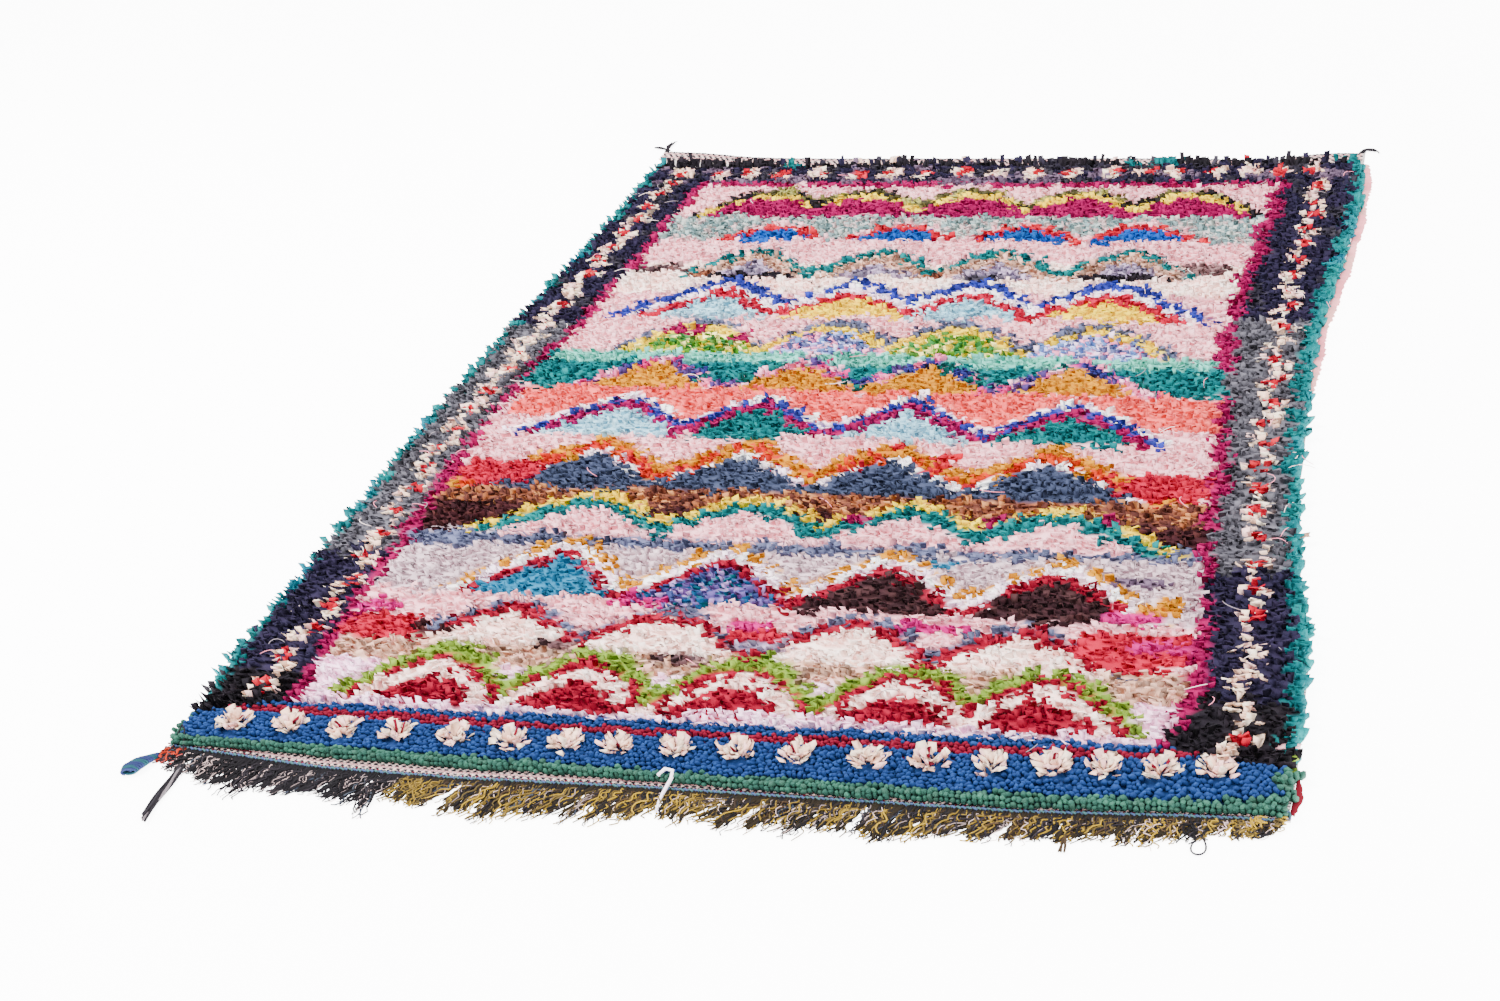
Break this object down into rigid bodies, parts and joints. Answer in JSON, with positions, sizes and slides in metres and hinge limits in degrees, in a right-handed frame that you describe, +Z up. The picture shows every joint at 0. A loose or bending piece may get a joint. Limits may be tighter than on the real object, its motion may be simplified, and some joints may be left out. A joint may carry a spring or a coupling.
{
  "type": "boucherouite rug",
  "caption": "Hand-knotted rag-pile rug with rows of stepped hills, a knotted border of small rosettes, a twined near edge and a short warp fringe, lying flat.",
  "frame": {"origin": "middle of the whole outline, fringe and tassels included, on the floor that the rug lies on", "axes": "+Z up out of the pile, +Y along the rug's length away from the fringed end, +X across it to the right seen from the fringed end"},
  "size_m": [1.6236, 2.6454, 0.0324],
  "materials": {
    "knotted_pile": "torn cotton rag pile and wool pile on flat-woven ground",
    "twined_wool": "twined teal and blue wool yarn",
    "plied_yarn": "loose plied black, white and mustard yarn",
    "wrapped_wool": "wool yarn wrapped round the warps",
    "pink_cloth": "thin pale pink cotton cloth",
    "red_cloth": "thin dark red cotton cloth",
    "dark_yarn": "dark wool yarn"
  },
  "bodies": {
    "root": {"rug": "knotted_pile", "edge_braid": "twined_wool", "near_fringe": "plied_yarn", "corner_tail": "wrapped_wool", "selvedge_strip": "pink_cloth", "selvedge_patch": "red_cloth", "far_left_tassel": "dark_yarn", "far_right_tassel": "dark_yarn"}
  },
  "joints": []
}
